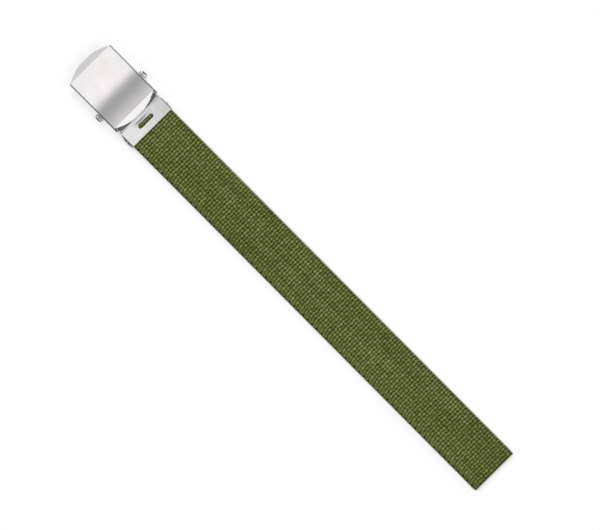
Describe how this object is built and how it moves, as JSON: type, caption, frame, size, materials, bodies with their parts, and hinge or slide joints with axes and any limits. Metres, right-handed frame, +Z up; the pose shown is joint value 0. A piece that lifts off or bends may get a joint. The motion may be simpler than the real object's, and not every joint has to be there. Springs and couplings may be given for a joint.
{
  "type": "canvas web belt",
  "caption": "Woven canvas strap clamped at one end in a pressed metal roller buckle with an arched face and slotted clamp plate, the other end cut straight.",
  "frame": {"origin": "on the surface the belt lies on, under the middle of its length and of its width", "axes": "+X along the strap from the buckle to the cut end, +Y across the strap, +Z up out of the buckle's face"},
  "size_m": [0.3506, 0.0406, 0.01],
  "materials": {
    "cover_metal": "satin nickel plate",
    "roller_metal": "bright plate, fluted",
    "pin_metal": "plain drawn wire",
    "clamp_metal": "satin nickel plate",
    "jaw_metal": "plain plate",
    "olive_web": "coarse woven cotton"
  },
  "bodies": {
    "strap_and_clamp": {"web_strap": "olive_web", "clamp_plate": "clamp_metal", "clamp_jaw": "jaw_metal", "hinge_pin": "pin_metal"},
    "cover": {"buckle_cover": "cover_metal"},
    "roller": {"roller_bar": "roller_metal"}
  },
  "joints": [
    {"name": "cover_hinge", "type": "hinge", "parent": "strap_and_clamp", "child": "cover", "pos_m": [-0.13215, 0, 0.0017], "axis": [0, 1, 0], "range_deg": [0, 16]},
    {"name": "roller_slide", "type": "slide", "parent": "cover", "child": "roller", "axis": [-0.9063, 0, 0.4226], "range_m": [0, 0.0066]}
  ]
}
